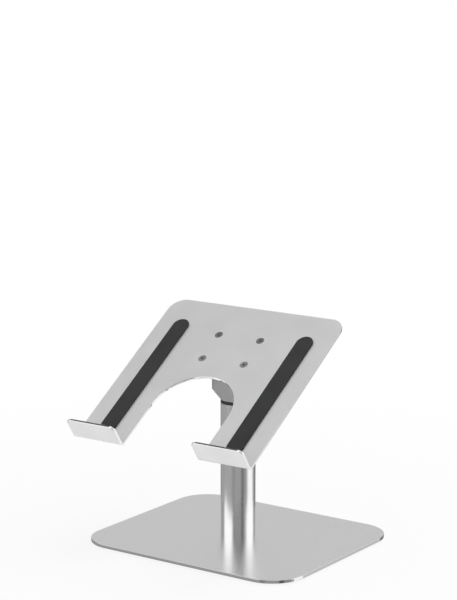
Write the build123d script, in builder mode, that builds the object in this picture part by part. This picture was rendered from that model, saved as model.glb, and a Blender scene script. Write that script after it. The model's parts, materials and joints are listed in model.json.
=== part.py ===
from build123d import *
import os
from math import cos, radians, sin, sqrt

# A laptop stand: base plate, column, swivelling and tilting head, tray with two lips.
# Millimetres. +Z is up, the front is -Y, and the origin is on the desk under the column.

# Base
BASE_WIDTH = 218.5
BASE_DEPTH = 186.0
BASE_THICKNESS = 3.0
BASE_CORNER_RADIUS = 31.5
BASE_EDGE_CHAMFER = 0.4
DESK_PAD_THICKNESS = 1.5
DESK_PAD_INSET = 5.0

# Column
COLUMN_DIAMETER = 31.0
COLUMN_WALL = 2.0
COLUMN_LENGTH = 121.5
FOOT_PLUG_LENGTH = 20.0
BUSH_FLANGE_THICKNESS = 2.0
BUSH_SPIGOT_LENGTH = 16.0
BUSH_EDGE_CHAMFER = 0.5

# Screws that hold the column, from under the base plate
COLUMN_SCREW_COUNT = 3
COLUMN_SCREW_CIRCLE_SHARE = 15 / 26
COLUMN_SCREW_DIAMETER = 5.0
COLUMN_SCREW_HEAD = 9.4
COLUMN_SCREW_LENGTH = 14.0
COLUMN_SCREW_SOCKET = 3.0

# Bolts of the swivel and of the tilt hinge
BOLT_DIAMETER = 8.0
BOLT_HEAD_DIAMETER = 13.0
BOLT_HEAD_HEIGHT = 5.0
BOLT_SOCKET = 5.0
BOLT_SOCKET_DEPTH = 3.0
BOLT_EDGE_CHAMFER = 0.6
NUT_ACROSS_FLATS = 13.0
SWIVEL_NUT_HEIGHT = 8.0
HINGE_NUT_HEIGHT = 4.0
SPRING_DIAMETER = 16.0
SPRING_THICKNESS = 0.8
SPRING_CONE_HEIGHT = 0.4
THRUST_WASHER_THICKNESS = 1.0
THRUST_WASHER_INSET = 0.5
LOWER_WASHER_DIAMETER = 20.0

# Yoke, whose ears carry the hinge bolt and stop the tray at both ends of its tilt
YOKE_WIDTH = 40.0
YOKE_DEPTH = 30.0
YOKE_CORNER_RADIUS = 5.0
YOKE_PIVOT_HEIGHT = 30.0
YOKE_NECK_FLARE = 0.8
YOKE_EDGE_FILLET = 1.2
FORK_SLOT_WIDTH = 18.0
FORK_FLOOR_DROP = 13.0
EAR_STOP_RADIUS = 13.0
SPINDLE_RECESS_DIAMETER = 14.5
SPINDLE_RECESS_DEPTH = 6.0
EAR_RECESS_DIAMETER = 17.0
BOLT_HEAD_RECESS_DEPTH = 7.0
HINGE_NUT_RECESS_DEPTH = 8.0
CAP_THICKNESS = 1.5
CAP_SKIRT_DEPTH = 1.2
CAP_SKIRT_WALL = 0.6
CAP_EDGE_CHAMFER = 0.4

# Tray
TRAY_TILT = 33.7
TRAY_TILT_TOP = 60.0
TRAY_WIDTH = 184.0
TRAY_SHEET = 2.0
TRAY_FRONT_REACH = 125.5
TRAY_REAR_REACH = 52.0
TRAY_REAR_CORNER_RADIUS = 15.0
TRAY_BEND_RADIUS = 2.0
TRAY_EDGE_CHAMFER = 0.3
NOTCH_WIDTH = 80.0
NOTCH_APEX_REACH = 35.0
LIP_HEIGHT = 23.1
LIP_CORNER_RADIUS = 5.0

# Bracket under the tray
FLANGE_WIDTH = 60.0
FLANGE_DEPTH = 46.0
FLANGE_THICKNESS = 4.0
FLANGE_CORNER_RADIUS = 6.0
KNUCKLE_DIAMETER = 23.0
KNUCKLE_ROOT_WIDTH = 32.0
KNUCKLE_ROOT_FILLET = 3.0
HINGE_BUSH_WALL = 1.0
FRICTION_WASHER_DIAMETER = 20.0
TRAY_SCREW_SPACING_X = 44.0
TRAY_SCREW_SPACING_Y = 30.0
TRAY_SCREW_DIAMETER = 4.0
TRAY_SCREW_HEAD = 7.6
TRAY_SCREW_LENGTH = 5.6
TRAY_SCREW_SOCKET = 2.5

# Rubber strips on the tray
ARM_PAD_WIDTH = 16.0
ARM_PAD_LENGTH = 140.0
ARM_PAD_THICKNESS = 1.5
ARM_PAD_FRONT_MARGIN = 12.0
PAD_EDGE_CHAMFER = 0.4
LIP_PAD_SIDE_MARGIN = 3.0
LIP_PAD_THICKNESS = 1.2
LIP_PAD_TOP_MARGIN = 1.5
LIP_PAD_FOOT_GAP = 1.0
LIP_PAD_CORNER_RADIUS = 4.0

# Clearances
RUNNING_CLEARANCE = 0.05
PRESS_CLEARANCE = 0.02
SCREW_CLEARANCE = 0.02
STOP_CLEARANCE = 0.3
COUNTERSINK_ANGLE = 90.0

# Lengths and places closer than this count as the same
SAME_SIZE = 0.001

# Heights from the desk
plate_bottom = DESK_PAD_THICKNESS
plate_top = plate_bottom + BASE_THICKNESS
tube_top = plate_top + COLUMN_LENGTH
bush_top = tube_top + BUSH_FLANGE_THICKNESS
bush_bottom = tube_top - BUSH_SPIGOT_LENGTH
upper_washer_bottom = bush_top + RUNNING_CLEARANCE
yoke_bottom = upper_washer_bottom + THRUST_WASHER_THICKNESS
pivot_height = yoke_bottom + YOKE_PIVOT_HEIGHT
fork_floor = pivot_height - FORK_FLOOR_DROP
spindle_seat = fork_floor - SPINDLE_RECESS_DEPTH
lower_washer_top = bush_bottom - RUNNING_CLEARANCE
lower_washer_bottom = lower_washer_top - THRUST_WASHER_THICKNESS

# Radii that several pieces share
column_radius = COLUMN_DIAMETER / 2
tube_bore_radius = column_radius - COLUMN_WALL
bolt_radius = BOLT_DIAMETER / 2
bolt_bore_radius = bolt_radius + RUNNING_CLEARANCE
hinge_bush_radius = bolt_bore_radius + HINGE_BUSH_WALL
spring_stack_height = 2 * (SPRING_THICKNESS + SPRING_CONE_HEIGHT)
column_screw_spots = tube_bore_radius * COLUMN_SCREW_CIRCLE_SHARE

# Places across the hinge, from the middle of the fork
ear_outer_face = YOKE_WIDTH / 2
ear_inner_face = FORK_SLOT_WIDTH / 2
bolt_seat = ear_outer_face - BOLT_HEAD_RECESS_DEPTH
spring_seat = ear_outer_face - HINGE_NUT_RECESS_DEPTH
hinge_nut_seat = spring_seat + spring_stack_height
hinge_bolt_end = hinge_nut_seat + HINGE_NUT_HEIGHT
knuckle_half_width = ear_inner_face - THRUST_WASHER_THICKNESS

# Distances from the pivot, square to the tray
flange_bottom = EAR_STOP_RADIUS + STOP_CLEARANCE
tray_bottom = flange_bottom + FLANGE_THICKNESS
tray_top = tray_bottom + TRAY_SHEET
lip_top = tray_bottom + LIP_HEIGHT
lip_inner_face = TRAY_SHEET - TRAY_FRONT_REACH
arm_width = (TRAY_WIDTH - NOTCH_WIDTH) / 2
arm_middle = (NOTCH_WIDTH + arm_width) / 2
lip_pad_foot = tray_top + TRAY_BEND_RADIUS + LIP_PAD_FOOT_GAP
lip_pad_top = lip_top - LIP_PAD_TOP_MARGIN
lip_pad_width = arm_width - 2 * LIP_PAD_SIDE_MARGIN

# Planes: level ones by height, and those of the tilted tray through the pivot
tilt = radians(TRAY_TILT)
pivot = (0, 0, pivot_height)
tray_plane = Plane(origin=pivot, x_dir=(1, 0, 0), z_dir=(0, -sin(tilt), cos(tilt)))
tray_side = Plane(origin=pivot, x_dir=(0, cos(tilt), sin(tilt)), z_dir=(1, 0, 0))
tray_across = Axis(pivot, (0, cos(tilt), sin(tilt)))
tray_normal = Axis(pivot, (0, -sin(tilt), cos(tilt)))
hinge_right = Plane(origin=pivot, x_dir=(0, 1, 0), z_dir=(1, 0, 0))
hinge_left = Plane(origin=pivot, x_dir=(0, -1, 0), z_dir=(-1, 0, 0))
plate_underside = Plane(origin=(0, 0, plate_bottom), x_dir=(1, 0, 0), z_dir=(0, 0, -1))
column_down = Plane(origin=(0, 0, lower_washer_bottom), x_dir=(1, 0, 0), z_dir=(0, 0, -1))

HANGING = (Align.CENTER, Align.CENTER, Align.MAX)
STANDING = (Align.CENTER, Align.CENTER, Align.MIN)


def ring(label, plane, outer_radius, inner_radius, height):
    """A flat ring that stands on the plane."""
    with BuildPart() as piece:
        with BuildSketch(plane):
            Circle(outer_radius)
            Circle(inner_radius, mode=Mode.SUBTRACT)
        extrude(amount=height)
    piece.part.label = label
    return piece


def socket_bolt(label, seat, length):
    """A bolt whose head stands on the seat plane and whose shank runs down from it."""
    with BuildPart() as piece:
        with Locations(seat):
            Cylinder(bolt_radius, length, align=HANGING)
            Cylinder(BOLT_HEAD_DIAMETER / 2, BOLT_HEAD_HEIGHT, align=STANDING)
        along = Axis(seat.origin, seat.z_dir)
        ends = piece.edges().filter_by(GeomType.CIRCLE).sort_by(along)
        chamfer([ends[0], ends[-1]], BOLT_EDGE_CHAMFER)
        with BuildSketch(seat.offset(BOLT_HEAD_HEIGHT)):
            RegularPolygon(BOLT_SOCKET / 2, 6, major_radius=False)
        extrude(amount=-BOLT_SOCKET_DEPTH, mode=Mode.SUBTRACT)
    piece.part.label = label
    return piece


def hex_nut(label, seat, height):
    """A hexagonal nut on the seat plane, with its corners turned off at the far end."""
    with BuildPart() as piece:
        with BuildSketch(seat):
            RegularPolygon(NUT_ACROSS_FLATS / 2, 6, major_radius=False)
        extrude(amount=height)
        with Locations(seat):
            corner_radius = NUT_ACROSS_FLATS / sqrt(3)
            top_radius = corner_radius - BOLT_EDGE_CHAMFER
            Cone(top_radius + height, top_radius, height, align=STANDING, mode=Mode.INTERSECT)
        with BuildSketch(seat):
            Circle(bolt_radius + SCREW_CLEARANCE)
        extrude(amount=height, mode=Mode.SUBTRACT)
    piece.part.label = label
    return piece


def disc_springs(label, seat):
    """Two coned discs on the seat plane, outer rim to outer rim, round the plane's own axis."""
    inner = bolt_bore_radius
    outer = SPRING_DIAMETER / 2
    rise = SPRING_CONE_HEIGHT
    half = spring_stack_height / 2
    with BuildPart() as piece:
        with BuildSketch(Plane(origin=seat.origin, x_dir=seat.x_dir, z_dir=-seat.y_dir)):
            Polygon((inner, 0), (outer, rise), (outer, half), (inner, SPRING_THICKNESS), align=None)
            Polygon(
                (outer, half),
                (outer, half + SPRING_THICKNESS),
                (inner, 2 * half),
                (inner, half + rise),
                align=None,
            )
        revolve(axis=Axis(seat.origin, seat.z_dir))
    piece.part.label = label
    return piece


def hinge_cap(label, side):
    """A plug that closes an ear's recess flush, with a skirt round its inner face."""
    radius = EAR_RECESS_DIAMETER / 2 - PRESS_CLEARANCE
    with BuildPart() as piece:
        with BuildSketch(side.offset(ear_outer_face - CAP_THICKNESS)):
            Circle(radius)
        extrude(amount=CAP_THICKNESS)
        chamfer(piece.edges().sort_by(Axis(side.origin, side.z_dir))[-1], CAP_EDGE_CHAMFER)
        with BuildSketch(side.offset(ear_outer_face - CAP_THICKNESS)):
            Circle(radius)
            Circle(radius - CAP_SKIRT_WALL, mode=Mode.SUBTRACT)
        extrude(amount=-CAP_SKIRT_DEPTH)
    piece.part.label = label
    return piece


def arm_pad(label, side):
    """A rubber strip with round ends on the arm at this side of the tray."""
    middle = ARM_PAD_FRONT_MARGIN + ARM_PAD_LENGTH / 2 - TRAY_FRONT_REACH
    with BuildPart() as piece:
        with BuildSketch(tray_plane.offset(tray_top)):
            with Locations((side * arm_middle, middle)):
                SlotOverall(ARM_PAD_LENGTH, ARM_PAD_WIDTH, rotation=90)
        extrude(amount=ARM_PAD_THICKNESS)
        chamfer(piece.edges().group_by(tray_normal)[-1], PAD_EDGE_CHAMFER)
    piece.part.label = label
    return piece


def lip_pad(label, side):
    """A rubber liner on the inner face of the lip at this side."""
    height = lip_pad_top - lip_pad_foot
    face = Plane(
        origin=tray_side.from_local_coords((lip_inner_face, lip_pad_foot + height / 2, side * arm_middle)),
        x_dir=(-1, 0, 0),
        z_dir=tray_plane.y_dir,
    )
    with BuildPart() as piece:
        with BuildSketch(face):
            RectangleRounded(lip_pad_width, height, LIP_PAD_CORNER_RADIUS)
        extrude(amount=LIP_PAD_THICKNESS)
        chamfer(piece.edges().group_by(tray_across)[-1], PAD_EDGE_CHAMFER)
    piece.part.label = label
    return piece


# Base

with BuildPart() as non_slip_pad:
    with BuildSketch(Plane.XY):
        RectangleRounded(
            BASE_WIDTH - 2 * DESK_PAD_INSET,
            BASE_DEPTH - 2 * DESK_PAD_INSET,
            BASE_CORNER_RADIUS - DESK_PAD_INSET,
        )
    extrude(amount=DESK_PAD_THICKNESS)
    chamfer(non_slip_pad.edges().group_by(Axis.Z)[0], PAD_EDGE_CHAMFER)
non_slip_pad.part.label = "non_slip_pad"

with BuildPart() as base_plate:
    with BuildSketch(Plane.XY.offset(plate_bottom)):
        RectangleRounded(BASE_WIDTH, BASE_DEPTH, BASE_CORNER_RADIUS)
    extrude(amount=BASE_THICKNESS)
    rims = base_plate.edges().group_by(Axis.Z)
    chamfer(rims[0] + rims[-1], BASE_EDGE_CHAMFER)
    with Locations(plate_underside):
        with PolarLocations(column_screw_spots, COLUMN_SCREW_COUNT):
            CounterSinkHole(
                COLUMN_SCREW_DIAMETER / 2 + SCREW_CLEARANCE,
                COLUMN_SCREW_HEAD / 2 + SCREW_CLEARANCE,
                counter_sink_angle=COUNTERSINK_ANGLE,
            )
base_plate.part.label = "base_plate"

# Column

with BuildPart() as column_tube:
    with BuildSketch(Plane.XY.offset(plate_top)):
        Circle(column_radius)
        Circle(tube_bore_radius, mode=Mode.SUBTRACT)
    extrude(amount=COLUMN_LENGTH)
column_tube.part.label = "column_tube"

with BuildPart() as column_foot_plug:
    with BuildSketch(Plane.XY.offset(plate_top)):
        Circle(tube_bore_radius - PRESS_CLEARANCE)
        with PolarLocations(column_screw_spots, COLUMN_SCREW_COUNT):
            Circle(COLUMN_SCREW_DIAMETER / 2 + SCREW_CLEARANCE, mode=Mode.SUBTRACT)
    extrude(amount=FOOT_PLUG_LENGTH)
    chamfer(column_foot_plug.edges().group_by(Axis.Z)[-1].sort_by(SortBy.LENGTH)[-1], BUSH_EDGE_CHAMFER)
column_foot_plug.part.label = "column_foot_plug"

with BuildPart() as column_screws:
    head_height = (COLUMN_SCREW_HEAD - COLUMN_SCREW_DIAMETER) / 2
    with Locations(plate_underside):
        with PolarLocations(column_screw_spots, COLUMN_SCREW_COUNT):
            Cylinder(COLUMN_SCREW_DIAMETER / 2, COLUMN_SCREW_LENGTH, align=HANGING)
            Cone(COLUMN_SCREW_DIAMETER / 2, COLUMN_SCREW_HEAD / 2, head_height, align=HANGING)
    with BuildSketch(plate_underside):
        with PolarLocations(column_screw_spots, COLUMN_SCREW_COUNT):
            RegularPolygon(COLUMN_SCREW_SOCKET / 2, 6, major_radius=False)
    extrude(amount=-head_height, mode=Mode.SUBTRACT)
column_screws.part.label = "column_screws"

with BuildPart() as column_top_bush:
    with BuildSketch(Plane.XY.offset(tube_top)):
        Circle(column_radius)
    extrude(amount=BUSH_FLANGE_THICKNESS)
    chamfer(column_top_bush.edges().group_by(Axis.Z)[-1], BUSH_EDGE_CHAMFER)
    with BuildSketch(Plane.XY.offset(tube_top)):
        Circle(tube_bore_radius - PRESS_CLEARANCE)
    extrude(amount=-BUSH_SPIGOT_LENGTH)
    with Locations((0, 0, bush_top)):
        Hole(bolt_bore_radius)
column_top_bush.part.label = "column_top_bush"

# Swivel

thrust_washer_upper = ring(
    "thrust_washer_upper",
    Plane.XY.offset(upper_washer_bottom),
    column_radius - THRUST_WASHER_INSET,
    bolt_bore_radius,
    THRUST_WASHER_THICKNESS,
)
thrust_washer_lower = ring(
    "thrust_washer_lower",
    Plane.XY.offset(lower_washer_bottom),
    LOWER_WASHER_DIAMETER / 2,
    bolt_bore_radius,
    THRUST_WASHER_THICKNESS,
)
swivel_disc_springs = disc_springs("swivel_disc_springs", column_down)
swivel_nut_seat = column_down.offset(spring_stack_height)
swivel_lock_nut = hex_nut("swivel_lock_nut", swivel_nut_seat, SWIVEL_NUT_HEIGHT)
swivel_spindle = socket_bolt(
    "swivel_spindle",
    Plane.XY.offset(spindle_seat),
    spindle_seat - (swivel_nut_seat.origin.Z - SWIVEL_NUT_HEIGHT),
)

# Yoke

with BuildPart() as hinge_yoke:
    yoke_height = YOKE_PIVOT_HEIGHT + EAR_STOP_RADIUS
    with BuildSketch(Plane.XY.offset(yoke_bottom)):
        RectangleRounded(YOKE_WIDTH, YOKE_DEPTH, YOKE_CORNER_RADIUS)
    extrude(amount=yoke_height)
    # A cone turns the block's foot down to the column.
    with Locations((0, 0, yoke_bottom)):
        Cone(
            column_radius,
            column_radius + YOKE_NECK_FLARE * yoke_height,
            yoke_height,
            align=STANDING,
            mode=Mode.INTERSECT,
        )
    # The ears' front: round from level to the steepest tilt, then a flat that stops the tray.
    stop = radians(TRAY_TILT_TOP)
    stop_end = (-EAR_STOP_RADIUS * sin(stop), EAR_STOP_RADIUS * cos(stop))
    flat_run = YOKE_DEPTH
    with BuildSketch(hinge_right):
        with BuildLine():
            crest = Line((-2 * YOKE_DEPTH, EAR_STOP_RADIUS), (0, EAR_STOP_RADIUS))
            nose = CenterArc((0, 0), EAR_STOP_RADIUS, 90, TRAY_TILT_TOP)
            flat = Line(stop_end, (stop_end[0] - flat_run * cos(stop), stop_end[1] - flat_run * sin(stop)))
            Line(flat @ 1, crest @ 0)
        make_face()
    extrude(amount=YOKE_WIDTH, both=True, mode=Mode.SUBTRACT)
    with BuildSketch(Plane.XY.offset(fork_floor)):
        Rectangle(FORK_SLOT_WIDTH, 2 * YOKE_DEPTH)
    extrude(amount=FORK_FLOOR_DROP + EAR_STOP_RADIUS, mode=Mode.SUBTRACT)
    crown = hinge_yoke.faces().filter_by(Axis.Z).group_by(Axis.Z)[-1]
    fillet(crown.edges().filter_by_position(Axis.Y, SAME_SIZE, YOKE_DEPTH), YOKE_EDGE_FILLET)
    with Locations(Plane.XY.offset(fork_floor)):
        CounterBoreHole(bolt_bore_radius, SPINDLE_RECESS_DIAMETER / 2, SPINDLE_RECESS_DEPTH)
    with Locations(hinge_right.offset(ear_outer_face)):
        CounterBoreHole(bolt_bore_radius, EAR_RECESS_DIAMETER / 2, BOLT_HEAD_RECESS_DEPTH, YOKE_WIDTH / 2)
    with Locations(hinge_left.offset(ear_outer_face)):
        CounterBoreHole(bolt_bore_radius, EAR_RECESS_DIAMETER / 2, HINGE_NUT_RECESS_DEPTH, YOKE_WIDTH / 2)
hinge_yoke.part.label = "hinge_yoke"

# Hinge

hinge_bolt = socket_bolt("hinge_bolt", hinge_right.offset(bolt_seat), bolt_seat + hinge_bolt_end)
hinge_disc_springs = disc_springs("hinge_disc_springs", hinge_left.offset(spring_seat))
hinge_lock_nut = hex_nut("hinge_lock_nut", hinge_left.offset(hinge_nut_seat), HINGE_NUT_HEIGHT)
hinge_cap_right = hinge_cap("hinge_cap_right", hinge_right)
hinge_cap_left = hinge_cap("hinge_cap_left", hinge_left)
friction_washer_right = ring(
    "friction_washer_right",
    hinge_right.offset(knuckle_half_width + RUNNING_CLEARANCE),
    FRICTION_WASHER_DIAMETER / 2,
    bolt_bore_radius,
    THRUST_WASHER_THICKNESS - RUNNING_CLEARANCE,
)
friction_washer_left = ring(
    "friction_washer_left",
    hinge_left.offset(knuckle_half_width + RUNNING_CLEARANCE),
    FRICTION_WASHER_DIAMETER / 2,
    bolt_bore_radius,
    THRUST_WASHER_THICKNESS - RUNNING_CLEARANCE,
)
hinge_bush = ring(
    "hinge_bush",
    hinge_right.offset(-knuckle_half_width),
    hinge_bush_radius - PRESS_CLEARANCE,
    bolt_bore_radius,
    2 * knuckle_half_width,
)

# Tray

with BuildPart() as tray_bracket:
    with BuildSketch(tray_side):
        Circle(KNUCKLE_DIAMETER / 2)
        Polygon(
            (-KNUCKLE_DIAMETER / 2, 0),
            (KNUCKLE_DIAMETER / 2, 0),
            (KNUCKLE_ROOT_WIDTH / 2, flange_bottom),
            (-KNUCKLE_ROOT_WIDTH / 2, flange_bottom),
            align=None,
        )
    extrude(amount=knuckle_half_width, both=True)
    with BuildSketch(tray_plane.offset(flange_bottom)):
        RectangleRounded(FLANGE_WIDTH, FLANGE_DEPTH, FLANGE_CORNER_RADIUS)
    extrude(amount=FLANGE_THICKNESS)
    on_flange = (flange_bottom - SAME_SIZE, flange_bottom + SAME_SIZE)
    roots = tray_bracket.edges().filter_by(Axis.X).filter_by_position(tray_normal, *on_flange)
    fillet(roots.group_by(SortBy.LENGTH)[0], KNUCKLE_ROOT_FILLET)
    with BuildSketch(tray_side):
        Circle(hinge_bush_radius)
    extrude(amount=knuckle_half_width, both=True, mode=Mode.SUBTRACT)
    with BuildSketch(tray_plane.offset(flange_bottom)):
        with GridLocations(TRAY_SCREW_SPACING_X, TRAY_SCREW_SPACING_Y, 2, 2):
            Circle(TRAY_SCREW_DIAMETER / 2 + SCREW_CLEARANCE)
    extrude(amount=FLANGE_THICKNESS, mode=Mode.SUBTRACT)
tray_bracket.part.label = "tray_bracket"

with BuildPart() as tray_plate:
    with BuildSketch(tray_side):
        with BuildLine():
            FilletPolyline(
                (TRAY_REAR_REACH, tray_bottom),
                (-TRAY_FRONT_REACH, tray_bottom),
                (-TRAY_FRONT_REACH, lip_top),
                radius=TRAY_BEND_RADIUS + TRAY_SHEET,
            )
            offset(amount=TRAY_SHEET, side=Side.RIGHT)
        make_face()
    extrude(amount=TRAY_WIDTH / 2, both=True)
    with BuildSketch(tray_plane.offset(tray_bottom)):
        notch_centre = -NOTCH_APEX_REACH - NOTCH_WIDTH / 2
        with Locations((0, notch_centre)):
            Circle(NOTCH_WIDTH / 2)
            Rectangle(NOTCH_WIDTH, TRAY_FRONT_REACH, align=(Align.CENTER, Align.MAX))
    extrude(amount=LIP_HEIGHT, mode=Mode.SUBTRACT)
    fillet(tray_plate.edges().filter_by(tray_across).group_by(tray_normal)[-1], LIP_CORNER_RADIUS)
    fillet(tray_plate.edges().filter_by(tray_normal).group_by(tray_across)[-1], TRAY_REAR_CORNER_RADIUS)
    # The sheet's outline is chamfered on both faces, but not across its thickness or along a bend.
    sharp = (TRAY_SHEET, arm_width)
    chamfer(
        tray_plate.edges().filter_by(lambda edge: all(abs(edge.length - size) > SAME_SIZE for size in sharp)),
        TRAY_EDGE_CHAMFER,
    )
    with Locations(tray_plane.offset(tray_top)):
        with GridLocations(TRAY_SCREW_SPACING_X, TRAY_SCREW_SPACING_Y, 2, 2):
            CounterSinkHole(
                TRAY_SCREW_DIAMETER / 2 + SCREW_CLEARANCE,
                TRAY_SCREW_HEAD / 2 + SCREW_CLEARANCE,
                counter_sink_angle=COUNTERSINK_ANGLE,
            )
tray_plate.part.label = "tray_plate"

with BuildPart() as tray_screws:
    head_height = (TRAY_SCREW_HEAD - TRAY_SCREW_DIAMETER) / 2
    with Locations(tray_plane.offset(tray_top)):
        with GridLocations(TRAY_SCREW_SPACING_X, TRAY_SCREW_SPACING_Y, 2, 2):
            Cylinder(TRAY_SCREW_DIAMETER / 2, TRAY_SCREW_LENGTH, align=HANGING)
            Cone(TRAY_SCREW_DIAMETER / 2, TRAY_SCREW_HEAD / 2, head_height, align=HANGING)
    with BuildSketch(tray_plane.offset(tray_top)):
        with GridLocations(TRAY_SCREW_SPACING_X, TRAY_SCREW_SPACING_Y, 2, 2):
            RegularPolygon(TRAY_SCREW_SOCKET / 2, 6, major_radius=False)
    extrude(amount=-head_height, mode=Mode.SUBTRACT)
tray_screws.part.label = "tray_screws"

arm_pad_left = arm_pad("arm_pad_left", -1)
arm_pad_right = arm_pad("arm_pad_right", 1)
lip_pad_left = lip_pad("lip_pad_left", -1)
lip_pad_right = lip_pad("lip_pad_right", 1)

os.makedirs("parts", exist_ok=True)
for piece in (
    non_slip_pad,
    base_plate,
    column_tube,
    column_foot_plug,
    column_screws,
    column_top_bush,
    thrust_washer_upper,
    thrust_washer_lower,
    swivel_disc_springs,
    swivel_lock_nut,
    swivel_spindle,
    hinge_yoke,
    hinge_bolt,
    hinge_disc_springs,
    hinge_lock_nut,
    hinge_cap_right,
    hinge_cap_left,
    friction_washer_right,
    friction_washer_left,
    hinge_bush,
    tray_bracket,
    tray_plate,
    tray_screws,
    arm_pad_left,
    arm_pad_right,
    lip_pad_left,
    lip_pad_right,
):
    export_step(piece.part, f"parts/{piece.part.label}.step")
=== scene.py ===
"""Looks for a laptop stand: a satin base plate, a polished column, a cast hinge head and a bent-sheet tray.

The file is laid out as an add-on and run as a script. Lengths are in metres, in the frame of the CAD part:
+Z is up, the tray's lips face -Y, and the origin is on the desk under the column.
"""

import json
import math

import bpy
import numpy as np
from bpy.props import FloatProperty, FloatVectorProperty, IntProperty, PointerProperty
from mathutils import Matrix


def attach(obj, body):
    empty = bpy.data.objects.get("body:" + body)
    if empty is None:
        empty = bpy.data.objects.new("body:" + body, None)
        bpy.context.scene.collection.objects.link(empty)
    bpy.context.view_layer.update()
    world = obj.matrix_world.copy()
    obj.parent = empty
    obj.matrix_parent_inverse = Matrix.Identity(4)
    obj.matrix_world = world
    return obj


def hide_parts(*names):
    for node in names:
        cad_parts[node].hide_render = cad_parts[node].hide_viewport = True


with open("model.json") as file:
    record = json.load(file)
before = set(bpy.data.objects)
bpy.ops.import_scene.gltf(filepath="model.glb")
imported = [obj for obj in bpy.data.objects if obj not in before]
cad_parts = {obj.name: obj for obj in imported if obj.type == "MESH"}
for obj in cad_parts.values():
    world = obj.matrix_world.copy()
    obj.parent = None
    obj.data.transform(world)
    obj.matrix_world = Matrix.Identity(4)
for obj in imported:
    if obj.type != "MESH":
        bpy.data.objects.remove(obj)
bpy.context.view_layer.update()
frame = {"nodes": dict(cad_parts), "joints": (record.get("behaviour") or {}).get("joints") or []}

bl_info = {
    "name": "Laptop Stand",
    "version": (1, 0, 0),
    "blender": (4, 5, 0),
    "location": "View3D > Sidebar > Laptop Stand",
    "description": "Builds and finishes a swivelling, tilting laptop stand around its CAD frame",
    "category": "Object",
}


def named_joint(name):
    """The joint of this name in the frame."""
    return next(joint for joint in frame["joints"] if joint["name"] == name)


TILT_JOINT = named_joint("tilt")
# The tray is level at the low end of its range, so that end gives its slope at rest.
TRAY_SLOPE = -math.radians(TILT_JOINT["range_deg"][0])
TRAY_ORIGIN = np.array(TILT_JOINT["pos_m"])
# Rows: across the tray, up its slope, and square out of it.
TRAY_AXES = np.array(
    (
        (1.0, 0.0, 0.0),
        (0.0, math.cos(TRAY_SLOPE), math.sin(TRAY_SLOPE)),
        (0.0, -math.sin(TRAY_SLOPE), math.cos(TRAY_SLOPE)),
    )
)
LEVEL_AXES = np.eye(3)
DESK_ORIGIN = np.zeros(3)
# Points closer than this are in one place.
SAME_PLACE = 0.00001
# Faces that meet at more than this angle keep a sharp edge between them.
SHARP_ANGLE = math.radians(40)
# Rows beside a rounded edge that keep the wall and the flat straight, in radii of the edge: how far past it
# on the wall, and how far in from the wall on the flat.
WALL_EASE = 0.1
FLAT_EASE = 3
# How far along a straight run its extra point is, as a share of a step round the corner or of a shorter run.
RUN_EASE = 1 / 3
# The most of a plate's width that a corner's radius takes, so that round ends don't meet in one point.
ROUND_END = 0.499
# A hinge cap's hollowed face: the first ring's share of the last one's radius, and how many rings it has.
CAP_MIDDLE = 0.06
CAP_RINGS = 10


# Sizes, finishes and stage settings


class StandSizes(bpy.types.PropertyGroup):
    """Sizes of the details that the looks add to the CAD solids."""

    base_edge: FloatProperty(
        name="Base edge", description="Rounding of the base plate's polished rim", unit="LENGTH",
        default=0.0003,
    )
    tube_edge: FloatProperty(
        name="Tube edge", description="Rounding of the column tube's ends", default=0.0001, unit="LENGTH"
    )
    pad_edge: FloatProperty(
        name="Pad edge", description="Rounding of the non-slip pad", default=0.0006, unit="LENGTH"
    )
    strip_edge: FloatProperty(
        name="Strip edge", description="Rounding of the rubber strips and liners", unit="LENGTH",
        default=0.0003,
    )
    cap_hollow: FloatProperty(
        name="Cap hollow", description="How deep the hinge caps' faces are hollowed", unit="LENGTH",
        default=0.0002,
    )
    cap_edge: FloatProperty(
        name="Cap edge", description="Rounding of the hinge caps' rims", default=0.0004, unit="LENGTH"
    )
    corner_steps: IntProperty(
        name="Corner steps", description="Points on each quarter of a rounded outline", default=28, min=4
    )
    turn_steps: IntProperty(
        name="Turn steps", description="Points round a turned piece", default=144, min=24
    )
    edge_steps: IntProperty(
        name="Edge steps", description="Points across a rounded edge", default=6, min=2
    )


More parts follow.
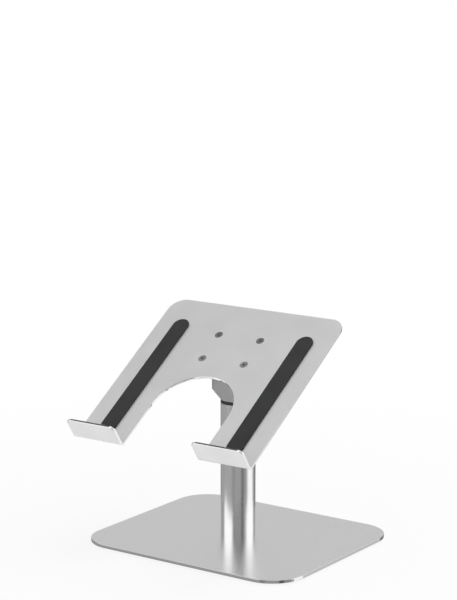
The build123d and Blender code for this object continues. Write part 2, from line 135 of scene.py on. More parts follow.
class StandFinishes(bpy.types.PropertyGroup):
    """Colours and gloss of the stand's materials."""

    base_colour: FloatVectorProperty(
        name="Base", description="Satin metal of the base plate", subtype="COLOR", size=3, min=0, max=1,
        default=(0.95, 0.95, 0.955),
    )
    rim_colour: FloatVectorProperty(
        name="Rim", description="Polished cut edge of the base plate", subtype="COLOR", size=3, min=0, max=1,
        default=(0.86, 0.86, 0.865),
    )
    column_colour: FloatVectorProperty(
        name="Column", description="Polished metal of the column", subtype="COLOR", size=3, min=0, max=1,
        default=(0.95, 0.95, 0.955),
    )
    tray_colour: FloatVectorProperty(
        name="Tray", description="Satin sheet of the tray", subtype="COLOR", size=3, min=0, max=1,
        default=(0.885, 0.885, 0.89),
    )
    cast_colour: FloatVectorProperty(
        name="Castings", description="Blasted castings of the hinge", subtype="COLOR", size=3, min=0, max=1,
        default=(0.60, 0.60, 0.61),
    )
    steel_colour: FloatVectorProperty(
        name="Fasteners", description="Plated screws, bolts, nuts and springs", subtype="COLOR", size=3,
        min=0, max=1, default=(0.55, 0.55, 0.56),
    )
    rubber_colour: FloatVectorProperty(
        name="Rubber", description="Strips, liners and desk pad", subtype="COLOR", size=3, min=0, max=1,
        default=(0.022, 0.022, 0.023),
    )
    plastic_colour: FloatVectorProperty(
        name="Plastic", description="Bushes, washers and caps", subtype="COLOR", size=3, min=0, max=1,
        default=(0.045, 0.045, 0.047),
    )
    base_gloss: FloatVectorProperty(
        name="Base roughness", description="Least and most roughness of the base plate", size=2, min=0, max=1,
        default=(0.25, 0.31),
    )
    column_gloss: FloatVectorProperty(
        name="Column roughness", description="Least and most roughness of the column", size=2, min=0, max=1,
        default=(0.235, 0.255),
    )
    tray_gloss: FloatVectorProperty(
        name="Tray roughness", description="Least and most roughness of the tray", size=2, min=0, max=1,
        default=(0.46, 0.52),
    )
    edge_gloss: FloatVectorProperty(
        name="Edge roughness", description="Least and most roughness of polished edges", size=2, min=0, max=1,
        default=(0.05, 0.09),
    )
    cast_gloss: FloatVectorProperty(
        name="Casting roughness", description="Least and most roughness of the castings", size=2,
        min=0, max=1, default=(0.40, 0.52),
    )
    steel_gloss: FloatVectorProperty(
        name="Fastener roughness", description="Least and most roughness of the fasteners", size=2,
        min=0, max=1, default=(0.22, 0.34),
    )
    rubber_gloss: FloatVectorProperty(
        name="Rubber roughness", description="Least and most roughness of the rubber", size=2,
        min=0, max=1, default=(0.62, 0.80),
    )
    plastic_gloss: FloatVectorProperty(
        name="Plastic roughness", description="Least and most roughness of the plastic", size=2,
        min=0, max=1, default=(0.42, 0.55),
    )


class StandStage(bpy.types.PropertyGroup):
    """Camera, light and floor round the stand."""

    camera_place: FloatVectorProperty(
        name="Camera", description="Where the camera stands", subtype="TRANSLATION", size=3,
        default=(1.0006, -1.4344, 0.5573),
    )
    camera_turn: FloatProperty(
        name="Turn", description="How far the camera looks to the left of straight back", subtype="ANGLE",
        default=0.61394,
    )
    camera_dip: FloatProperty(
        name="Dip", description="How far the camera looks down", subtype="ANGLE", default=0.19195
    )
    camera_lens: FloatProperty(
        name="Lens", description="Focal length in millimetres on a 36 mm sensor", default=122.6
    )
    sky_fill: FloatProperty(
        name="Sky fill", description="Strength of the white surroundings on matte surfaces", min=0,
        default=0.62,
    )
    key_power: FloatProperty(
        name="Key power", description="Power of the soft lamp above", default=16.0, min=0
    )
    key_size: FloatProperty(
        name="Key size", description="Width of the soft lamp", default=1.6, unit="LENGTH"
    )
    key_place: FloatVectorProperty(
        name="Key place", description="Where the soft lamp hangs", subtype="TRANSLATION", size=3,
        default=(0.7, 0.3, 1.8),
    )
    floor_shade: FloatProperty(
        name="Floor shade", description="Share of the floor's look that takes shadows", subtype="FACTOR",
        default=0.15, min=0, max=1,
    )
    floor_colour: FloatVectorProperty(
        name="Floor", description="Pale floor", subtype="COLOR", size=3, min=0, max=1, default=(0.9, 0.9, 0.9)
    )
    floor_height: FloatProperty(
        name="Floor height", description="Height of the floor, just under the pad", unit="LENGTH",
        default=-0.0003,
    )
    floor_radius: FloatProperty(
        name="Floor radius", description="How far the floor reaches", default=12.0, unit="LENGTH"
    )


# Surfaces


def rounded_outline(width, depth, radius, steps):
    """A rounded rectangle walked anticlockwise: at each corner a quarter circle about a centre one radius in
    from both sides, with one more point a little way along the straight run at both of its ends, which keeps
    the runs straight. Gives the points and, at each, the direction straight out."""
    turn = np.pad(np.linspace(0, np.pi / 2, steps), 1, mode="edge")
    angle = (np.arange(4)[:, None] * np.pi / 2 + turn).ravel()
    out = np.stack((np.cos(angle), np.sin(angle)), axis=-1)
    along = np.stack((-out[:, 1], out[:, 0]), axis=-1)
    runs = np.array((width, depth)) - 2 * radius
    corner_step = radius * turn[2]
    slide = np.zeros((4, len(turn)))
    slide[:, -1] = RUN_EASE * min(*runs, corner_step)
    slide[:, 0] = -slide[:, -1]
    corner = np.array(((1, 1), (-1, 1), (-1, -1), (1, -1))) * runs / 2
    return np.repeat(corner, len(turn), axis=0) + radius * out + slide.reshape(-1, 1) * along, out


def rounded_drop(edge, steps):
    """How far in and how far down a rounded edge runs: a quarter circle from the flat above it to the wall
    under it, and one more row a little way down the wall, which keeps the wall straight."""
    turn = np.linspace(0, np.pi / 2, steps)
    inset = np.append(edge * (1 - np.sin(turn)), 0.0)
    drop = np.append(edge * (1 - np.cos(turn)), edge * (1 + WALL_EASE))
    return inset, drop


def edge_profile(height, edge, steps):
    """How far in and how high a plate's skin runs: from its flat top over a rounded edge, down its side and
    round a second edge to its flat bottom. A ring further in at both ends keeps the flats flat."""
    inset, drop = rounded_drop(edge, steps)
    top = np.stack((inset, height - drop), axis=-1)
    bottom = np.stack((inset, drop), axis=-1)[::-1]
    flat = FLAT_EASE * edge
    return np.concatenate(([(flat, height)], top, bottom, [(flat, 0.0)]))


def plate_rings(outline, out, profile):
    """The outline drawn in by each profile inset and lifted to each profile height: one ring for each row."""
    inset, height = profile[:, 0], profile[:, 1]
    flat = outline[None] - inset[:, None, None] * out[None]
    lift = np.broadcast_to(height[:, None, None], (*flat.shape[:2], 1))
    return np.concatenate((flat, lift), axis=-1)


def turned_rings(profile, steps):
    """Each profile row, a radius and a height, carried once round the height axis."""
    angle = np.arange(steps) * 2 * np.pi / steps
    radius = profile[:, 0][:, None]
    height = np.broadcast_to(profile[:, 1][:, None], (len(profile), steps))
    return np.stack((radius * np.cos(angle), radius * np.sin(angle), height), axis=-1)


def placed(points, origin, axes):
    """Points given along a frame's own axes, from its origin, as points of the stand."""
    return points @ axes + origin


def add_object(name, data):
    """A new object in the scene, which shows a mesh, a lamp or a camera."""
    made = bpy.data.objects.new(name, data)
    bpy.context.scene.collection.objects.link(made)
    return made


def skin(name, rings, loop=False):
    """A closed mesh from rings of points: quads join each ring to the next one down. The last ring joins the
    first if they make a loop, and otherwise triangles about a middle point close the first and last ring."""
    rows, around = rings.shape[:2]
    row = np.arange(rows if loop else rows - 1)[:, None]
    step = np.arange(around)
    below = (row + 1) % rows
    after = (step + 1) % around
    quads = np.stack(
        (row * around + step, below * around + step, below * around + after, row * around + after), axis=-1
    )
    points = rings.reshape(-1, 3)
    faces = quads.reshape(-1, 4).tolist()
    if not loop:
        points = np.concatenate((points, rings[[0, -1]].mean(axis=1)))
        middle = np.full(around, rows * around)
        last = (rows - 1) * around
        faces += np.stack((step, after, middle), axis=-1).tolist()
        faces += np.stack((last + after, last + step, middle + 1), axis=-1).tolist()
    mesh = bpy.data.meshes.new(name)
    mesh.from_pydata(points, [], faces)
    mesh.shade_smooth()
    mesh.set_sharp_from_angle(angle=SHARP_ANGLE)
    return add_object(name, mesh)


def node_points(node, origin=DESK_ORIGIN, axes=LEVEL_AXES):
    """Every vertex of a CAD node along the axes, from the origin."""
    mesh = frame["nodes"][node].data
    points = np.empty(len(mesh.vertices) * 3)
    mesh.vertices.foreach_get("co", points)
    return (points.reshape(-1, 3) - origin) @ axes.T


def node_extent(node, origin=DESK_ORIGIN, axes=LEVEL_AXES):
    """Lowest and highest values of a CAD node along the axes, from the origin."""
    points = node_points(node, origin, axes)
    return points.min(axis=0), points.max(axis=0)


def node_corner(node, origin=DESK_ORIGIN, axes=LEVEL_AXES):
    """Corner radius of a CAD node's rounded outline: what its side's straight run leaves of its length."""
    points = node_points(node, origin, axes)
    high = points.max(axis=0)
    side = points[points[:, 0] > high[0] - SAME_PLACE]
    return high[1] - side[:, 1].max()


def node_bore(node, origin=DESK_ORIGIN, axes=LEVEL_AXES):
    """Radius of the hole at a turned CAD node's low end, about its third axis."""
    points = node_points(node, origin, axes)
    end = points[points[:, 2] < points[:, 2].min() + SAME_PLACE]
    return np.hypot(end[:, 0], end[:, 1]).min()


def node_plate(node, edge, sizes, origin=DESK_ORIGIN, axes=LEVEL_AXES):
    """Rings of a plate with a CAD node's outline, height and place, and with rounded edges."""
    low, high = node_extent(node, origin, axes)
    width, depth, height = high - low
    corner = min(node_corner(node, origin, axes), ROUND_END * width)
    outline, out = rounded_outline(width, depth, corner, sizes.corner_steps)
    rings = plate_rings(outline, out, edge_profile(height, edge, sizes.edge_steps))
    foot = np.array((*((low + high) / 2)[:2], low[2]))
    return placed(rings + foot, origin, axes)


def stand_in(piece, body, slot, *nodes):
    """The piece takes the place of these CAD nodes on their body. The slot is not used."""
    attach(piece, body)
    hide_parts(*nodes)


# Materials


# The grain's smaller noise: how many times finer it is, and its share of the bump's height.
FINER_GRAIN = 2.7
FINER_SHARE = 0.35
# Levels of the broad noise that are clean and fully marked.
CLEAN_LEVEL = 0.35
MARKED_LEVEL = 0.70
# How far the tray's bend reaches from its front and from its underside.
BEND_REACH = 0.006
# A tray face looks sideways where its normal has more than the first value across the tray, and looks away
# from the sheet's own normal where it has less than the second along that.
SIDEWAYS = 0.5
SLANTED = 0.8


def add_node(tree, kind, place, **values):
    """A node at a place in the tree, with its named inputs or properties set."""
    node = tree.nodes.new(kind)
    node.location = place
    for name, value in values.items():
        if name in node.inputs:
            node.inputs[name].default_value = value
        else:
            setattr(node, name, value)
    return node


def new_group(name, inputs, outputs):
    """An empty shader group with its input and output sockets, and its two end nodes."""
    tree = bpy.data.node_groups.new(name, "ShaderNodeTree")
    for socket, kind, default in inputs:
        made = tree.interface.new_socket(socket, in_out="INPUT", socket_type=kind)
        if default is not None:
            made.default_value = default
    for socket, kind in outputs:
        tree.interface.new_socket(socket, in_out="OUTPUT", socket_type=kind)
    start = add_node(tree, "NodeGroupInput", (-700, 0))
    end = add_node(tree, "NodeGroupOutput", (700, 0))
    return tree, start, end


def grain_group():
    """Fine even grain, as blasting, moulding or casting leaves: two sizes of noise, the finer one weaker.
    Gives the coarser noise as the grain, and both together as the height for a bump."""
    tree, start, end = new_group(
        "Fine grain",
        (("Vector", "NodeSocketVector", None), ("Scale", "NodeSocketFloat", 1500.0)),
        (("Grain", "NodeSocketFloat"), ("Height", "NodeSocketFloat")),
    )
    link = tree.links.new
    finer = add_node(tree, "ShaderNodeMath", (-460, -160), operation="MULTIPLY")
    finer.inputs[1].default_value = FINER_GRAIN
    coarse = add_node(tree, "ShaderNodeTexNoise", (-260, 120), Detail=2.0, Roughness=0.6)
    fine = add_node(tree, "ShaderNodeTexNoise", (-260, -140), Detail=1.0, Roughness=0.5)
    both = add_node(tree, "ShaderNodeMix", (0, 0), Factor=FINER_SHARE)
    link(start.outputs["Vector"], coarse.inputs["Vector"])
    link(start.outputs["Vector"], fine.inputs["Vector"])
    link(start.outputs["Scale"], coarse.inputs["Scale"])
    link(start.outputs["Scale"], finer.inputs[0])
    link(finer.outputs[0], fine.inputs["Scale"])
    link(coarse.outputs["Fac"], both.inputs["A"])
    link(fine.outputs["Fac"], both.inputs["B"])
    link(both.outputs["Result"], end.inputs["Height"])
    link(coarse.outputs["Fac"], end.inputs["Grain"])
    return tree


def handling_group():
    """Faint cloudy marks, as hands and cloths leave: broad warped noise, spread apart. Gives a mask from 0,
    clean, to 1, marked."""
    tree, start, end = new_group(
        "Handling marks",
        (("Vector", "NodeSocketVector", None), ("Scale", "NodeSocketFloat", 30.0)),
        (("Marks", "NodeSocketFloat"),),
    )
    link = tree.links.new
    cloud = add_node(tree, "ShaderNodeTexNoise", (-300, 0), Detail=2.0, Roughness=0.5, Distortion=0.4)
    spread = add_node(tree, "ShaderNodeMapRange", (0, 0))
    spread.inputs["From Min"].default_value = CLEAN_LEVEL
    spread.inputs["From Max"].default_value = MARKED_LEVEL
    link(start.outputs["Vector"], cloud.inputs["Vector"])
    link(start.outputs["Scale"], cloud.inputs["Scale"])
    link(cloud.outputs["Fac"], spread.inputs["Value"])
    link(spread.outputs["Result"], end.inputs["Marks"])
    return tree


def between_group():
    """A value between a low and a high one, as far up as a mask says."""
    tree, start, end = new_group(
        "Between",
        (
            ("Mask", "NodeSocketFloat", 0.5),
            ("Low", "NodeSocketFloat", 0.2),
            ("High", "NodeSocketFloat", 0.3),
        ),
        (("Value", "NodeSocketFloat"),),
    )
    ramp = add_node(tree, "ShaderNodeMapRange", (0, 0))
    tree.links.new(start.outputs["Mask"], ramp.inputs["Value"])
    tree.links.new(start.outputs["Low"], ramp.inputs["To Min"])
    tree.links.new(start.outputs["High"], ramp.inputs["To Max"])
    tree.links.new(ramp.outputs["Result"], end.inputs["Value"])
    return tree


def shared_group(name):
    """A shared shader group, built the first time that a material asks for it."""
    makers = {"Fine grain": grain_group, "Handling marks": handling_group, "Between": between_group}
    return bpy.data.node_groups.get(name) or makers[name]()


def use_group(tree, name, place, **values):
    """A shared group placed in a material, with its inputs set."""
    node = add_node(tree, "ShaderNodeGroup", place)
    node.node_tree = shared_group(name)
    for socket, value in values.items():
        node.inputs[socket].default_value = value
    return node


def new_material(name):
    """A material with an empty tree but for its shader and output, and its Object coordinates."""
    material = bpy.data.materials.new(name)
    material.use_nodes = True
    tree = material.node_tree
    tree.nodes.clear()
    output = add_node(tree, "ShaderNodeOutputMaterial", (700, 0))
    shader = add_node(tree, "ShaderNodeBsdfPrincipled", (400, 0))
    tree.links.new(shader.outputs["BSDF"], output.inputs["Surface"])
    coordinates = add_node(tree, "ShaderNodeTexCoord", (-900, 0))
    return material, tree, shader, coordinates


def finish_surface(tree, shader, vector, colour, gloss, grain_scale, bump, shade, fine=False):
    """Colour that varies a little with the grain, a grain bump, and roughness that varies with handling or,
    where it is fine, with the grain. Gives the node whose value is the roughness."""
    link = tree.links.new
    grain = use_group(tree, "Fine grain", (-560, 200), Scale=grain_scale)
    marks = use_group(tree, "Handling marks", (-560, -60))
    rough = use_group(tree, "Between", (-300, -60), Low=gloss[0], High=gloss[1])
    tone = add_node(tree, "ShaderNodeMix", (-60, 240), data_type="RGBA")
    tone.inputs["A"].default_value = (*(channel * (1 - shade) for channel in colour), 1)
    tone.inputs["B"].default_value = (*(min(1.0, channel * (1 + shade)) for channel in colour), 1)
    relief = add_node(tree, "ShaderNodeBump", (120, -260), Strength=1.0, Distance=bump)
    for group in (grain, marks):
        link(vector, group.inputs["Vector"])
    link(grain.outputs["Grain"], tone.inputs["Factor"])
    link(tone.outputs["Result"], shader.inputs["Base Color"])
    link(grain.outputs["Grain"] if fine else marks.outputs["Marks"], rough.inputs["Mask"])
    link(rough.outputs["Value"], shader.inputs["Roughness"])
    link(grain.outputs["Height"], relief.inputs["Height"])
    link(relief.outputs["Normal"], shader.inputs["Normal"])
    return rough


def metal(
    name, colour, gloss, grain_scale=2500.0, bump=0.0000001, shade=0.008, stretch=(1.0, 1.0, 1.0), fine=False
):
    """Bare metal with a fine grain, drawn out along an axis where the stretch is small."""
    material, tree, shader, coordinates = new_material(name)
    shader.inputs["Metallic"].default_value = 1.0
    mapping = add_node(tree, "ShaderNodeMapping", (-740, 0), Scale=stretch)
    tree.links.new(coordinates.outputs["Object"], mapping.inputs["Vector"])
    finish_surface(tree, shader, mapping.outputs["Vector"], colour, gloss, grain_scale, bump, shade, fine)
    return material


def dull(name, colour, gloss, grain_scale, bump, shade):
    """Rubber or plastic with a moulded grain."""
    material, tree, shader, coordinates = new_material(name)
    finish_surface(tree, shader, coordinates.outputs["Object"], colour, gloss, grain_scale, bump, shade)
    return material


def tray_metal(name, finishes):
    """Satin sheet whose cut edges are polished. In the tray's own axes an edge is where the face looks
    sideways, or on the flat looks away from its normal, or above the bend looks away from the lip's."""
    material, tree, shader, coordinates = new_material(name)
    link = tree.links.new
    shader.inputs["Metallic"].default_value = 1.0
    rough = finish_surface(
        tree,
        shader,
        coordinates.outputs["Object"],
        finishes.tray_colour,
        finishes.tray_gloss,
        grain_scale=2500.0,
        bump=0.000001,
        shade=0.015,
    )
    low = node_extent("tray_plate", TRAY_ORIGIN, TRAY_AXES)[0]
    flat_start = low[1] + BEND_REACH
    lip_start = low[2] + BEND_REACH

    turned = []
    for row, socket in enumerate(("Object", "Normal")):
        turn = add_node(tree, "ShaderNodeVectorRotate", (-740, -400 - 200 * row), rotation_type="X_AXIS")
        turn.inputs["Angle"].default_value = -TRAY_SLOPE
        if socket == "Object":
            turn.inputs["Center"].default_value = TRAY_ORIGIN
        link(coordinates.outputs[socket], turn.inputs["Vector"])
        parts = add_node(tree, "ShaderNodeSeparateXYZ", (-560, -400 - 200 * row))
        link(turn.outputs["Vector"], parts.inputs["Vector"])
        turned.append(parts)
    place, facing = turned

    def test(source, operation, limit, spot, size=False):
        """1 where the value, or its size, is on the asked side of the limit."""
        if size:
            bare = add_node(tree, "ShaderNodeMath", (spot[0] - 160, spot[1]), operation="ABSOLUTE")
            link(source, bare.inputs[0])
            source = bare.outputs[0]
        node = add_node(tree, "ShaderNodeMath", spot, operation=operation)
        link(source, node.inputs[0])
        node.inputs[1].default_value = limit
        return node.outputs[0]

    def join(operation, first, second, spot):
        """Both masks multiplied, or the larger of the two."""
        node = add_node(tree, "ShaderNodeMath", spot, operation=operation)
        link(first, node.inputs[0])
        link(second, node.inputs[1])
        return node.outputs[0]

    sideways = test(facing.outputs["X"], "GREATER_THAN", SIDEWAYS, (-160, -420), size=True)
    on_flat = test(place.outputs["Y"], "GREATER_THAN", TRAY_ORIGIN[1] + flat_start, (-160, -560))
    off_flat = test(facing.outputs["Z"], "LESS_THAN", SLANTED, (-160, -700), size=True)
    on_lip = test(place.outputs["Z"], "GREATER_THAN", TRAY_ORIGIN[2] + lip_start, (-160, -840))
    off_lip = test(facing.outputs["Y"], "LESS_THAN", SLANTED, (-160, -980), size=True)
    flat_edge = join("MULTIPLY", on_flat, off_flat, (20, -600))
    lip_edge = join("MULTIPLY", on_lip, off_lip, (20, -900))
    cut = join("MAXIMUM", sideways, flat_edge, (180, -500))
    cut = join("MAXIMUM", cut, lip_edge, (340, -600))

    polish = add_node(tree, "ShaderNodeMix", (180, -60), data_type="FLOAT")
    link(cut, polish.inputs["Factor"])
    link(rough.outputs["Value"], polish.inputs["A"])
    polish.inputs["B"].default_value = finishes.edge_gloss[1]
    link(polish.outputs["Result"], shader.inputs["Roughness"])
    return material


def stand_material(name):
    """A material of the stand by its plain name, made the first time that a piece asks for it."""
    made = bpy.data.materials.get(name)
    if made:
        return made
    finishes = bpy.context.scene.laptop_stand_finishes
    makers = {
        "Base satin": lambda: metal(name, finishes.base_colour, finishes.base_gloss, fine=True),
        "Base rim": lambda: metal(name, finishes.rim_colour, finishes.edge_gloss),
        "Column polish": lambda: metal(
            name, finishes.column_colour, finishes.column_gloss, grain_scale=900.0, stretch=(1.0, 1.0, 0.02)
        ),
        "Tray sheet": lambda: tray_metal(name, finishes),
        "Casting": lambda: metal(
            name, finishes.cast_colour, finishes.cast_gloss, grain_scale=1400.0, bump=0.000012, shade=0.06
        ),
        "Plated steel": lambda: metal(
            name, finishes.steel_colour, finishes.steel_gloss, grain_scale=3000.0, bump=0.000002, shade=0.05
        ),
        "Rubber": lambda: dull(
            name, finishes.rubber_colour, finishes.rubber_gloss, grain_scale=2200.0, bump=0.00002, shade=0.25
        ),
        "Plastic": lambda: dull(
            name,
            finishes.plastic_colour,
            finishes.plastic_gloss,
            grain_scale=2600.0,
            bump=0.00001,
            shade=0.15,
        ),
    }
    return makers[name]()


def paint(piece, *names):
    """The piece's material slots, in order."""
    piece.data.materials.clear()
    for name in names:
        piece.data.materials.append(stand_material(name))


def paint_nodes(name, *nodes):
    """One material on each of these CAD nodes."""
    for node in nodes:
        paint(frame["nodes"][node], name)


def paint_rows(piece, around, first, last, index):
    """Gives the quads between two rings a material slot of their own."""
    chosen = np.zeros(len(piece.data.polygons), dtype=np.int32)
    chosen[first * around : last * around] = index
    piece.data.polygons.foreach_set("material_index", chosen)


# Pieces


class OBJECT_OT_stand_base(bpy.types.Operator):
    """Builds the base plate with its polished rim and the non-slip pad, and finishes the column's screws"""

    bl_idname = "object.stand_base"
    bl_label = "Base Plate and Pad"

    def execute(self, context):
        sizes = context.scene.laptop_stand_sizes
        rings = node_plate("base_plate", sizes.base_edge, sizes)
        rows, around = rings.shape[:2]
        plate = skin("base_plate_satin", rings)
        paint(plate, "Base satin", "Base rim")
        paint_rows(plate, around, 1, rows - 2, 1)
        stand_in(plate, "stand", "base_metal", "base_plate")

        pad = skin("non_slip_pad_rubber", node_plate("non_slip_pad", sizes.pad_edge, sizes))
        paint(pad, "Rubber")
        stand_in(pad, "stand", "black_rubber", "non_slip_pad")
        paint_nodes("Plated steel", "column_screws")
        return {"FINISHED"}


class OBJECT_OT_stand_column(bpy.types.Operator):
    """Turns the column tube, and finishes its plug and top bush"""

    bl_idname = "object.stand_column"
    bl_label = "Column"

    def execute(self, context):
        sizes = context.scene.laptop_stand_sizes
        low, high = node_extent("column_tube")
        outer = (high[0] - low[0]) / 2
        inner = node_bore("column_tube")
        inset, drop = rounded_drop(sizes.tube_edge, sizes.edge_steps)
        shoulder = np.stack((outer - inset, high[2] - drop), axis=-1)
        foot = np.stack((outer - inset, low[2] + drop), axis=-1)[::-1]
        bore = np.array(((inner, low[2]), (inner, high[2])))
        profile = np.concatenate((shoulder, foot, bore))
        tube = skin("column_tube_polished", turned_rings(profile, sizes.turn_steps), loop=True)
        paint(tube, "Column polish")
        stand_in(tube, "stand", "column_metal", "column_tube")
        paint_nodes("Casting", "column_foot_plug")
        paint_nodes("Plastic", "column_top_bush")
        return {"FINISHED"}


class OBJECT_OT_stand_head(bpy.types.Operator):
    """Finishes the swivelling hinge head, and turns the caps over its bolt"""

    bl_idname = "object.stand_head"
    bl_label = "Hinge Head"

    def execute(self, context):
        sizes = context.scene.laptop_stand_sizes
        for side, node in ((1, "hinge_cap_right"), (-1, "hinge_cap_left")):
            axes = np.array(((0, side, 0), (0, 0, 1), (side, 0, 0)), dtype=float)
            low, high = node_extent(node, TRAY_ORIGIN, axes)
            radius = (high[0] - low[0]) / 2
            spread = np.linspace(CAP_MIDDLE, 1, CAP_RINGS) * (radius - FLAT_EASE * sizes.cap_edge)
            hollow = high[2] - sizes.cap_hollow * (1 - (spread / spread[-1]) ** 2)
            inset, drop = rounded_drop(sizes.cap_edge, sizes.edge_steps)
            rim = np.stack((radius - inset, high[2] - drop), axis=-1)
            inner = node_bore(node, TRAY_ORIGIN, axes)
            middle = (low[2] + high[2]) / 2
            skirt = np.array(((radius, low[2]), (inner, low[2]), (inner, middle), (spread[0], middle)))
            profile = np.concatenate((np.stack((spread, hollow), axis=-1), rim, skirt))
            rings = turned_rings(profile, sizes.turn_steps)
            cap = skin(f"{node}_moulded", placed(rings, TRAY_ORIGIN, axes))
            paint(cap, "Plastic")
            stand_in(cap, "swivel_head", "cap_plastic", node)
        paint_nodes("Casting", "hinge_yoke")
        paint_nodes("Plated steel", "swivel_spindle", "swivel_lock_nut", "swivel_disc_springs")
        paint_nodes("Plated steel", "hinge_bolt", "hinge_lock_nut", "hinge_disc_springs")
        paint_nodes("Plastic", "thrust_washer_upper", "thrust_washer_lower")
        paint_nodes("Plastic", "friction_washer_left", "friction_washer_right")
        return {"FINISHED"}


class OBJECT_OT_stand_tray(bpy.types.Operator):
    """Finishes the bent-sheet tray, the bracket and bush under it, and their screws"""

    bl_idname = "object.stand_tray"
    bl_label = "Tray"

    def execute(self, context):
        paint_nodes("Tray sheet", "tray_plate")
        paint_nodes("Casting", "tray_bracket")
        paint_nodes("Plated steel", "tray_screws")
        paint_nodes("Plastic", "hinge_bush")
        return {"FINISHED"}


class OBJECT_OT_stand_strips(bpy.types.Operator):
    """Moulds the rubber strips on the tray's arms and the liners behind its lips"""

    bl_idname = "object.stand_strips"
    bl_label = "Rubber Strips and Liners"

    def execute(self, context):
        sizes = context.scene.laptop_stand_sizes
        # Rows of a liner's own axes: across the tray, square out of it, and back from the lip.
        lip_axes = np.array((-TRAY_AXES[0], TRAY_AXES[2], TRAY_AXES[1]))
        for node, axes in (
            ("arm_pad_left", TRAY_AXES),
            ("arm_pad_right", TRAY_AXES),
            ("lip_pad_left", lip_axes),
            ("lip_pad_right", lip_axes),
        ):
            strip = skin(f"{node}_rubber", node_plate(node, sizes.strip_edge, sizes, TRAY_ORIGIN, axes))
            paint(strip, "Rubber")
            stand_in(strip, "tray", "black_rubber", node)
        return {"FINISHED"}


# Stage


# Distances from the stand's middle between which the floor's shadow fades out.
FADE_START = 0.15
FADE_END = 0.60
# How light the floor's darker grain is, as a share of its colour.
FLOOR_GRAIN = 0.99
# Width of the camera's sensor in millimetres.
SENSOR_WIDTH = 36.0


def glow(name, light):
    """Even light from a surface."""
    material = bpy.data.materials.new(name)
    material.use_nodes = True
    tree = material.node_tree
    tree.nodes.clear()
    output = add_node(tree, "ShaderNodeOutputMaterial", (200, 0))
    shine = add_node(tree, "ShaderNodeEmission", (0, 0), Color=(1, 1, 1, 1), Strength=light)
    tree.links.new(shine.outputs["Emission"], output.inputs["Surface"])
    return material


def seen_directly(tree, place):
    """1 for rays that show the surroundings themselves: straight on, in gloss or through clear faces."""
    path = add_node(tree, "ShaderNodeLightPath", place)
    gloss = add_node(tree, "ShaderNodeMath", (place[0] + 180, place[1]), operation="MAXIMUM")
    both = add_node(tree, "ShaderNodeMath", (place[0] + 360, place[1]), operation="MAXIMUM")
    tree.links.new(path.outputs["Is Camera Ray"], gloss.inputs[0])
    tree.links.new(path.outputs["Is Glossy Ray"], gloss.inputs[1])
    tree.links.new(gloss.outputs[0], both.inputs[0])
    tree.links.new(path.outputs["Is Transmission Ray"], both.inputs[1])
    return both.outputs[0]


def white_world(fill):
    """Plain white surroundings where they are seen, and a softer fill on matte surfaces."""
    world = bpy.data.worlds.new("Studio")
    world.use_nodes = True
    tree = world.node_tree
    tree.nodes.clear()
    output = add_node(tree, "ShaderNodeOutputWorld", (400, 0))
    either = add_node(tree, "ShaderNodeMixShader", (200, 0))
    soft = add_node(tree, "ShaderNodeBackground", (0, 60), Color=(1, 1, 1, 1), Strength=fill)
    white = add_node(tree, "ShaderNodeBackground", (0, -60), Color=(1, 1, 1, 1), Strength=1.0)
    tree.links.new(seen_directly(tree, (-500, 200)), either.inputs["Fac"])
    tree.links.new(soft.outputs["Background"], either.inputs[1])
    tree.links.new(white.outputs["Background"], either.inputs[2])
    tree.links.new(either.outputs["Shader"], output.inputs["Surface"])
    return world


def floor_finish(colour, shade):
    """A pale matte floor that keeps a share of the shadow near the stand and is otherwise white where it is
    seen. It shows from above only."""
    material, tree, shader, coordinates = new_material("Pale floor")
    link = tree.links.new
    output = next(node for node in tree.nodes if node.type == "OUTPUT_MATERIAL")
    grain = use_group(tree, "Fine grain", (-500, 0), Scale=400.0)
    tone = add_node(tree, "ShaderNodeMix", (100, 200), data_type="RGBA")
    tone.inputs["A"].default_value = (*(FLOOR_GRAIN * channel for channel in colour), 1)
    tone.inputs["B"].default_value = (*colour, 1)
    link(coordinates.outputs["Object"], grain.inputs["Vector"])
    link(grain.outputs["Grain"], tone.inputs["Factor"])
    link(tone.outputs["Result"], shader.inputs["Base Color"])
    shader.inputs["Roughness"].default_value = 1.0
    shader.inputs["Specular IOR Level"].default_value = 0.0
    white = add_node(tree, "ShaderNodeEmission", (400, -300), Color=(1, 1, 1, 1), Strength=1.0)
    away = add_node(tree, "ShaderNodeVectorMath", (-100, 760), operation="LENGTH")
    fade = add_node(tree, "ShaderNodeMapRange", (100, 760))
    fade.inputs["From Min"].default_value = FADE_START
    fade.inputs["From Max"].default_value = FADE_END
    fade.inputs["To Min"].default_value = 1 - shade
    share = add_node(tree, "ShaderNodeMath", (420, 300), operation="MULTIPLY")
    either = add_node(tree, "ShaderNodeMixShader", (600, 120))
    sides = add_node(tree, "ShaderNodeNewGeometry", (600, 400))
    clear = add_node(tree, "ShaderNodeBsdfTransparent", (600, -60))
    above = add_node(tree, "ShaderNodeMixShader", (800, 120))
    link(coordinates.outputs["Object"], away.inputs[0])
    link(away.outputs["Value"], fade.inputs["Value"])
    link(seen_directly(tree, (-100, 500)), share.inputs[0])
    link(fade.outputs["Result"], share.inputs[1])
    link(share.outputs[0], either.inputs["Fac"])
    link(shader.outputs["BSDF"], either.inputs[1])
    link(white.outputs["Emission"], either.inputs[2])
    link(sides.outputs["Backfacing"], above.inputs["Fac"])
    link(either.outputs["Shader"], above.inputs[1])
    link(clear.outputs["BSDF"], above.inputs[2])
    link(above.outputs["Shader"], output.inputs["Surface"])
    return material


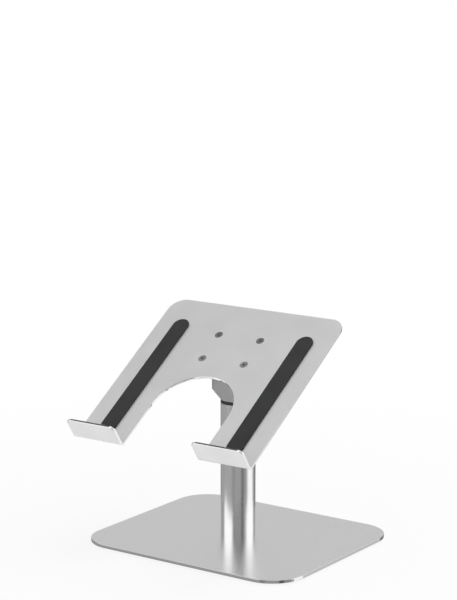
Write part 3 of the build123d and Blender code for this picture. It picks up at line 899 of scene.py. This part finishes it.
def arc(name, start, end, near, far, steps=64):
    """A straight strip from one radius and height to another, carried round the upright axis from one angle
    to another, in two rows of points."""
    angle = np.linspace(start, end, steps)
    radius, height = np.array((near, far)).T[:, :, None]
    points = np.stack(
        (radius * np.cos(angle), radius * np.sin(angle), np.broadcast_to(height, (2, steps))), axis=-1
    )
    step = np.arange(steps - 1)
    faces = np.stack((step, step + steps, step + steps + 1, step + 1), axis=-1)
    mesh = bpy.data.meshes.new(name)
    mesh.from_pydata(points.reshape(-1, 3), [], faces.tolist())
    return add_object(name, mesh)


# Cards that are seen only in gloss. Each has a name, its two sides in degrees round the stand from the camera
# towards the right of the picture, its low and high edge in degrees above the horizon, and how light it is.
# Each is a little nearer than the one before it, and hides that one where both lie in the same direction.
CARDS = (
    ("upper", (-180, 180), (28, 70), 0.74),
    ("front_left_low", (-39, -22), (-40, -1), 0.24),
    ("front_left", (-37, -22), (-1, 40), 0.12),
    ("front_low", (-22, 22), (-40, -1), 0.325),
    ("front", (-22, 22), (-1, 40), 0.215),
    ("dark_low", (22, 37), (-40, -1), 0.11),
    ("dark", (22, 39), (-1, 40), 0.02),
    ("front_right", (39, 56.5), (-1, 40), 0.38),
    ("front_right_low", (37, 62), (-40, -1), 0.28),
    ("corner_low", (62, 71), (-40, -17), 0.45),
    ("right_lamp", (56.5, 119), (-1, 34), 1.20),
    ("right_low", (109.5, 121), (-40, 9), 0.58),
    ("right_edge", (101, 110), (-12, 16), 0.54),
    ("rear_right_low", (121, 150), (-40, -1), 0.22),
    ("rear_right", (119, 150), (-1, 28), 0.22),
    ("left_low", (-150, -39), (-40, -1), 0.335),
    ("left_lamp", (-102, -37), (-1, 34), 1.22),
    ("rear_left", (-150, -102), (-1, 28), 0.22),
    ("rear_low", (150, 210), (-40, -1), 0.25),
    ("rear", (150, 210), (-1, 36), 0.547),
    ("ceiling", (-156, -122), (47, 63), 0.10),
)
# Distance of the first card, and how much nearer each later one is.
CARD_DISTANCE = 6.0
CARD_STEP = 0.05


class SCENE_OT_stand_stage(bpy.types.Operator):
    """Sets the pale floor, the soft lamp, the cards that the metal mirrors, and the camera"""

    bl_idname = "scene.stand_stage"
    bl_label = "Stage"

    def execute(self, context):
        scene = context.scene
        stage = scene.laptop_stand_stage
        scene.view_settings.view_transform = "Standard"
        scene.world = white_world(stage.sky_fill)

        middle = (0.0, stage.floor_height)
        rim = (stage.floor_radius, stage.floor_height)
        floor = arc("floor", 0, 2 * np.pi, middle, rim)
        floor.data.materials.append(floor_finish(stage.floor_colour, stage.floor_shade))
        floor.visible_glossy = False

        facing = math.atan2(stage.camera_place[1], stage.camera_place[0])
        for place, (name, sides, heights, light) in enumerate(CARDS):
            start, end = facing + np.radians(sides)
            low, high = np.radians(heights)
            away = CARD_DISTANCE - place * CARD_STEP
            card = arc(
                f"card_{name}",
                start,
                end,
                (away * math.cos(low), away * math.sin(low)),
                (away * math.cos(high), away * math.sin(high)),
            )
            card.data.materials.append(glow(f"Card {name}", light))
            card.visible_camera = False
            card.visible_diffuse = False
            card.visible_shadow = False

        lamp = bpy.data.lights.new("Soft lamp", "AREA")
        lamp.shape = "DISK"
        lamp.size = stage.key_size
        lamp.energy = stage.key_power
        key = add_object("Soft lamp", lamp)
        key.location = stage.key_place
        across, back, up = stage.key_place
        key.rotation_euler = (-math.atan2(back, up), math.atan2(across, up), 0)
        key.visible_glossy = False

        view = bpy.data.cameras.new("Camera")
        view.lens = stage.camera_lens
        view.sensor_width = SENSOR_WIDTH
        camera = add_object("Camera", view)
        camera.location = stage.camera_place
        camera.rotation_euler = (math.pi / 2 - stage.camera_dip, 0, stage.camera_turn)
        scene.camera = camera
        return {"FINISHED"}


class VIEW3D_PT_laptop_stand(bpy.types.Panel):
    """Lists the stand's pieces, sizes, finishes and stage settings"""

    bl_label = "Laptop Stand"
    bl_idname = "VIEW3D_PT_laptop_stand"
    bl_space_type = "VIEW_3D"
    bl_region_type = "UI"
    bl_category = "Laptop Stand"

    def draw(self, context):
        column = self.layout.column(align=True)
        for operator in OPERATORS:
            column.operator(operator.bl_idname)
        for group in (
            context.scene.laptop_stand_sizes,
            context.scene.laptop_stand_finishes,
            context.scene.laptop_stand_stage,
        ):
            box = self.layout.box()
            for name in group.__annotations__:
                box.prop(group, name)


SETTINGS = {
    "laptop_stand_sizes": StandSizes,
    "laptop_stand_finishes": StandFinishes,
    "laptop_stand_stage": StandStage,
}
OPERATORS = (
    SCENE_OT_stand_stage,
    OBJECT_OT_stand_base,
    OBJECT_OT_stand_column,
    OBJECT_OT_stand_head,
    OBJECT_OT_stand_tray,
    OBJECT_OT_stand_strips,
)
CLASSES = (*SETTINGS.values(), *OPERATORS, VIEW3D_PT_laptop_stand)


def register():
    for kind in CLASSES:
        bpy.utils.register_class(kind)
    for name, kind in SETTINGS.items():
        setattr(bpy.types.Scene, name, PointerProperty(type=kind))


def unregister():
    for name in SETTINGS:
        delattr(bpy.types.Scene, name)
    for kind in reversed(CLASSES):
        bpy.utils.unregister_class(kind)


def main():
    register()
    bpy.ops.scene.stand_stage()
    bpy.ops.object.stand_base()
    bpy.ops.object.stand_column()
    bpy.ops.object.stand_head()
    bpy.ops.object.stand_tray()
    bpy.ops.object.stand_strips()


if __name__ == "__main__":
    main()
